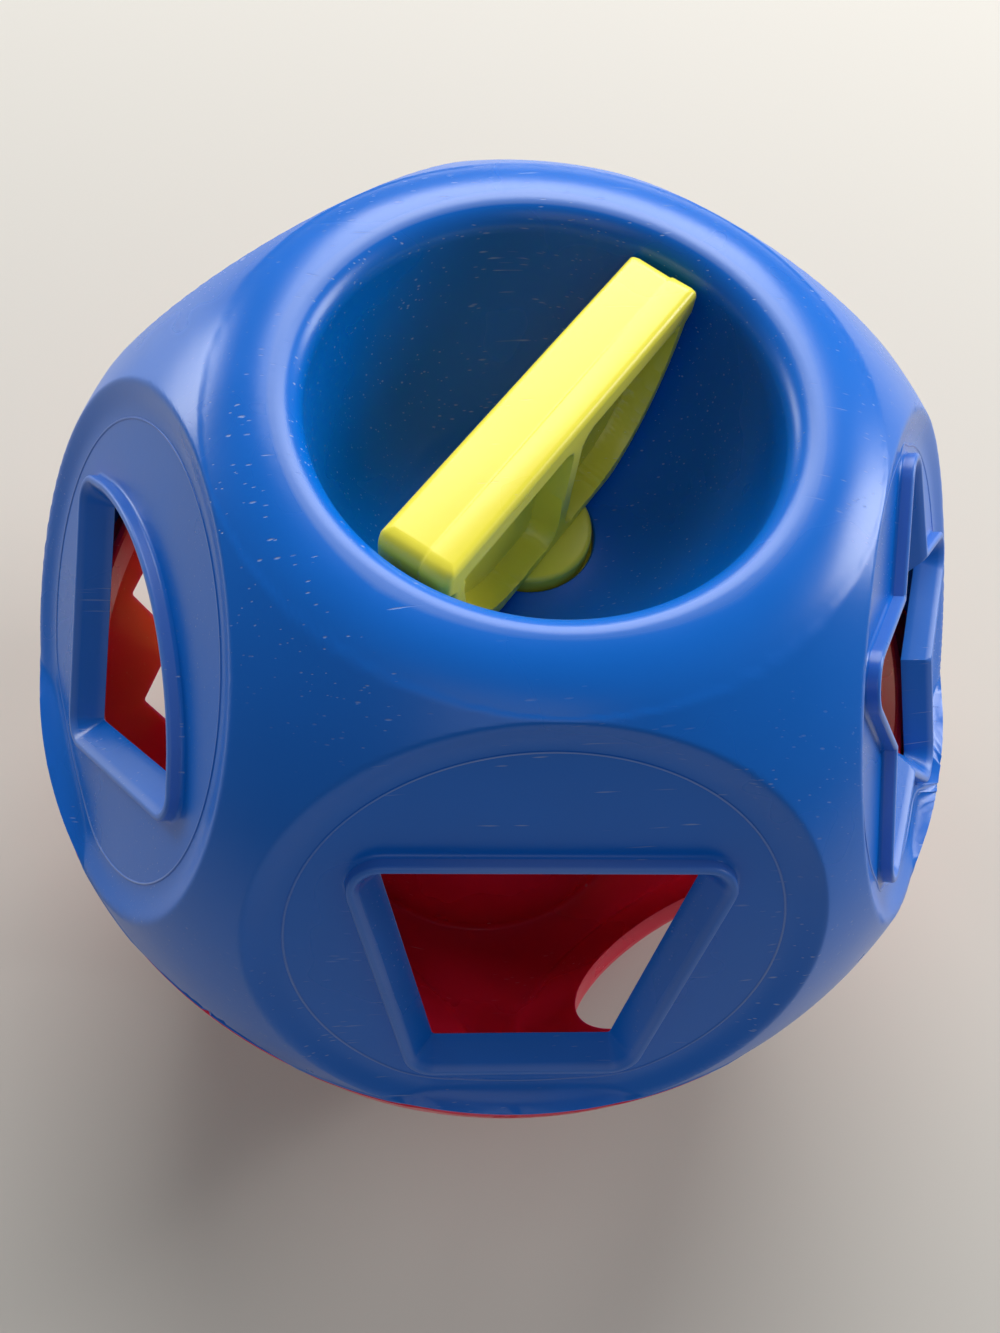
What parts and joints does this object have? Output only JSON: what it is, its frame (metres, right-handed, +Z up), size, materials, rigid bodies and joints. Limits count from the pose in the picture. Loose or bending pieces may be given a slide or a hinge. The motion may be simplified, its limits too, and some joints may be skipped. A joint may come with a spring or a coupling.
{
  "type": "shape sorter",
  "caption": "Ball-shaped shape sorter in two halves with shaped windows, turning dish handles that pull it open, and loose matching blocks inside.",
  "frame": {"origin": "centre of the circle that the ball stands on, on the rim of its lower dish", "axes": "+Z up along the axis through both dishes; -Y towards the trapezoid window"},
  "size_m": [0.177, 0.177, 0.1524],
  "materials": {
    "blue_plastic": "glossy moulded polyethylene with fine scratches",
    "red_plastic": "glossy moulded polyethylene",
    "yellow_plastic": "satin moulded polyethylene"
  },
  "bodies": {
    "red_half": {"red_half": "red_plastic"},
    "blue_half": {"blue_half": "blue_plastic"},
    "upper_handle": {"upper_handle": "yellow_plastic"},
    "lower_handle": {"lower_handle": "yellow_plastic"},
    "trapezoid_block": {"trapezoid_block": "yellow_plastic"},
    "star_block": {"star_block": "yellow_plastic"},
    "hexagon_block": {"hexagon_block": "yellow_plastic"},
    "triangle_block": {"triangle_block": "yellow_plastic"},
    "quarter_block": {"quarter_block": "yellow_plastic"},
    "circle_block": {"circle_block": "yellow_plastic"},
    "square_block": {"square_block": "yellow_plastic"},
    "pentagon_block": {"pentagon_block": "yellow_plastic"},
    "cross_block": {"cross_block": "yellow_plastic"},
    "oval_block": {"oval_block": "yellow_plastic"}
  },
  "joints": [
    {"name": "open", "type": "slide", "parent": "red_half", "child": "blue_half", "axis": [0, 0, 1], "range_m": [0, 0.05]},
    {"name": "lower_turn", "type": "hinge", "parent": "red_half", "child": "lower_handle", "pos_m": [0, 0, 0.0762], "axis": [0, 0, 1], "continuous": true},
    {"name": "upper_turn", "type": "hinge", "parent": "blue_half", "child": "upper_handle", "pos_m": [0, 0, 0.0762], "axis": [0, 0, 1], "continuous": true},
    {"name": "trapezoid_block_shift", "type": "slide", "parent": "red_half", "child": "trapezoid_block", "axis": [-0.9703, -0.2419, 0], "range_m": [0, 0.002]},
    {"name": "star_block_shift", "type": "slide", "parent": "red_half", "child": "star_block", "axis": [0, -1, 0], "range_m": [0, 0.002]},
    {"name": "hexagon_block_shift", "type": "slide", "parent": "red_half", "child": "hexagon_block", "axis": [0.9781, -0.2079, 0], "range_m": [0, 0.002]},
    {"name": "triangle_block_shift", "type": "slide", "parent": "red_half", "child": "triangle_block", "axis": [0, -1, 0], "range_m": [0, 0.002]},
    {"name": "quarter_block_shift", "type": "slide", "parent": "red_half", "child": "quarter_block", "axis": [0.9703, -0.2419, 0], "range_m": [0, 0.002]},
    {"name": "circle_block_shift", "type": "slide", "parent": "red_half", "child": "circle_block", "axis": [0, -1, 0], "range_m": [0, 0.002]},
    {"name": "square_block_shift", "type": "slide", "parent": "red_half", "child": "square_block", "axis": [0, -1, 0], "range_m": [0, 0.002]},
    {"name": "pentagon_block_shift", "type": "slide", "parent": "red_half", "child": "pentagon_block", "axis": [0.9816, -0.1908, 0], "range_m": [0, 0.002]},
    {"name": "cross_block_shift", "type": "slide", "parent": "red_half", "child": "cross_block", "axis": [-0.9781, -0.2079, 0], "range_m": [0, 0.002]},
    {"name": "oval_block_shift", "type": "slide", "parent": "red_half", "child": "oval_block", "axis": [-0.9781, -0.2079, 0], "range_m": [0, 0.002]}
  ],
  "couplings": [
    {"joint": "upper_turn", "follows": "lower_turn", "ratio": 1}
  ]
}
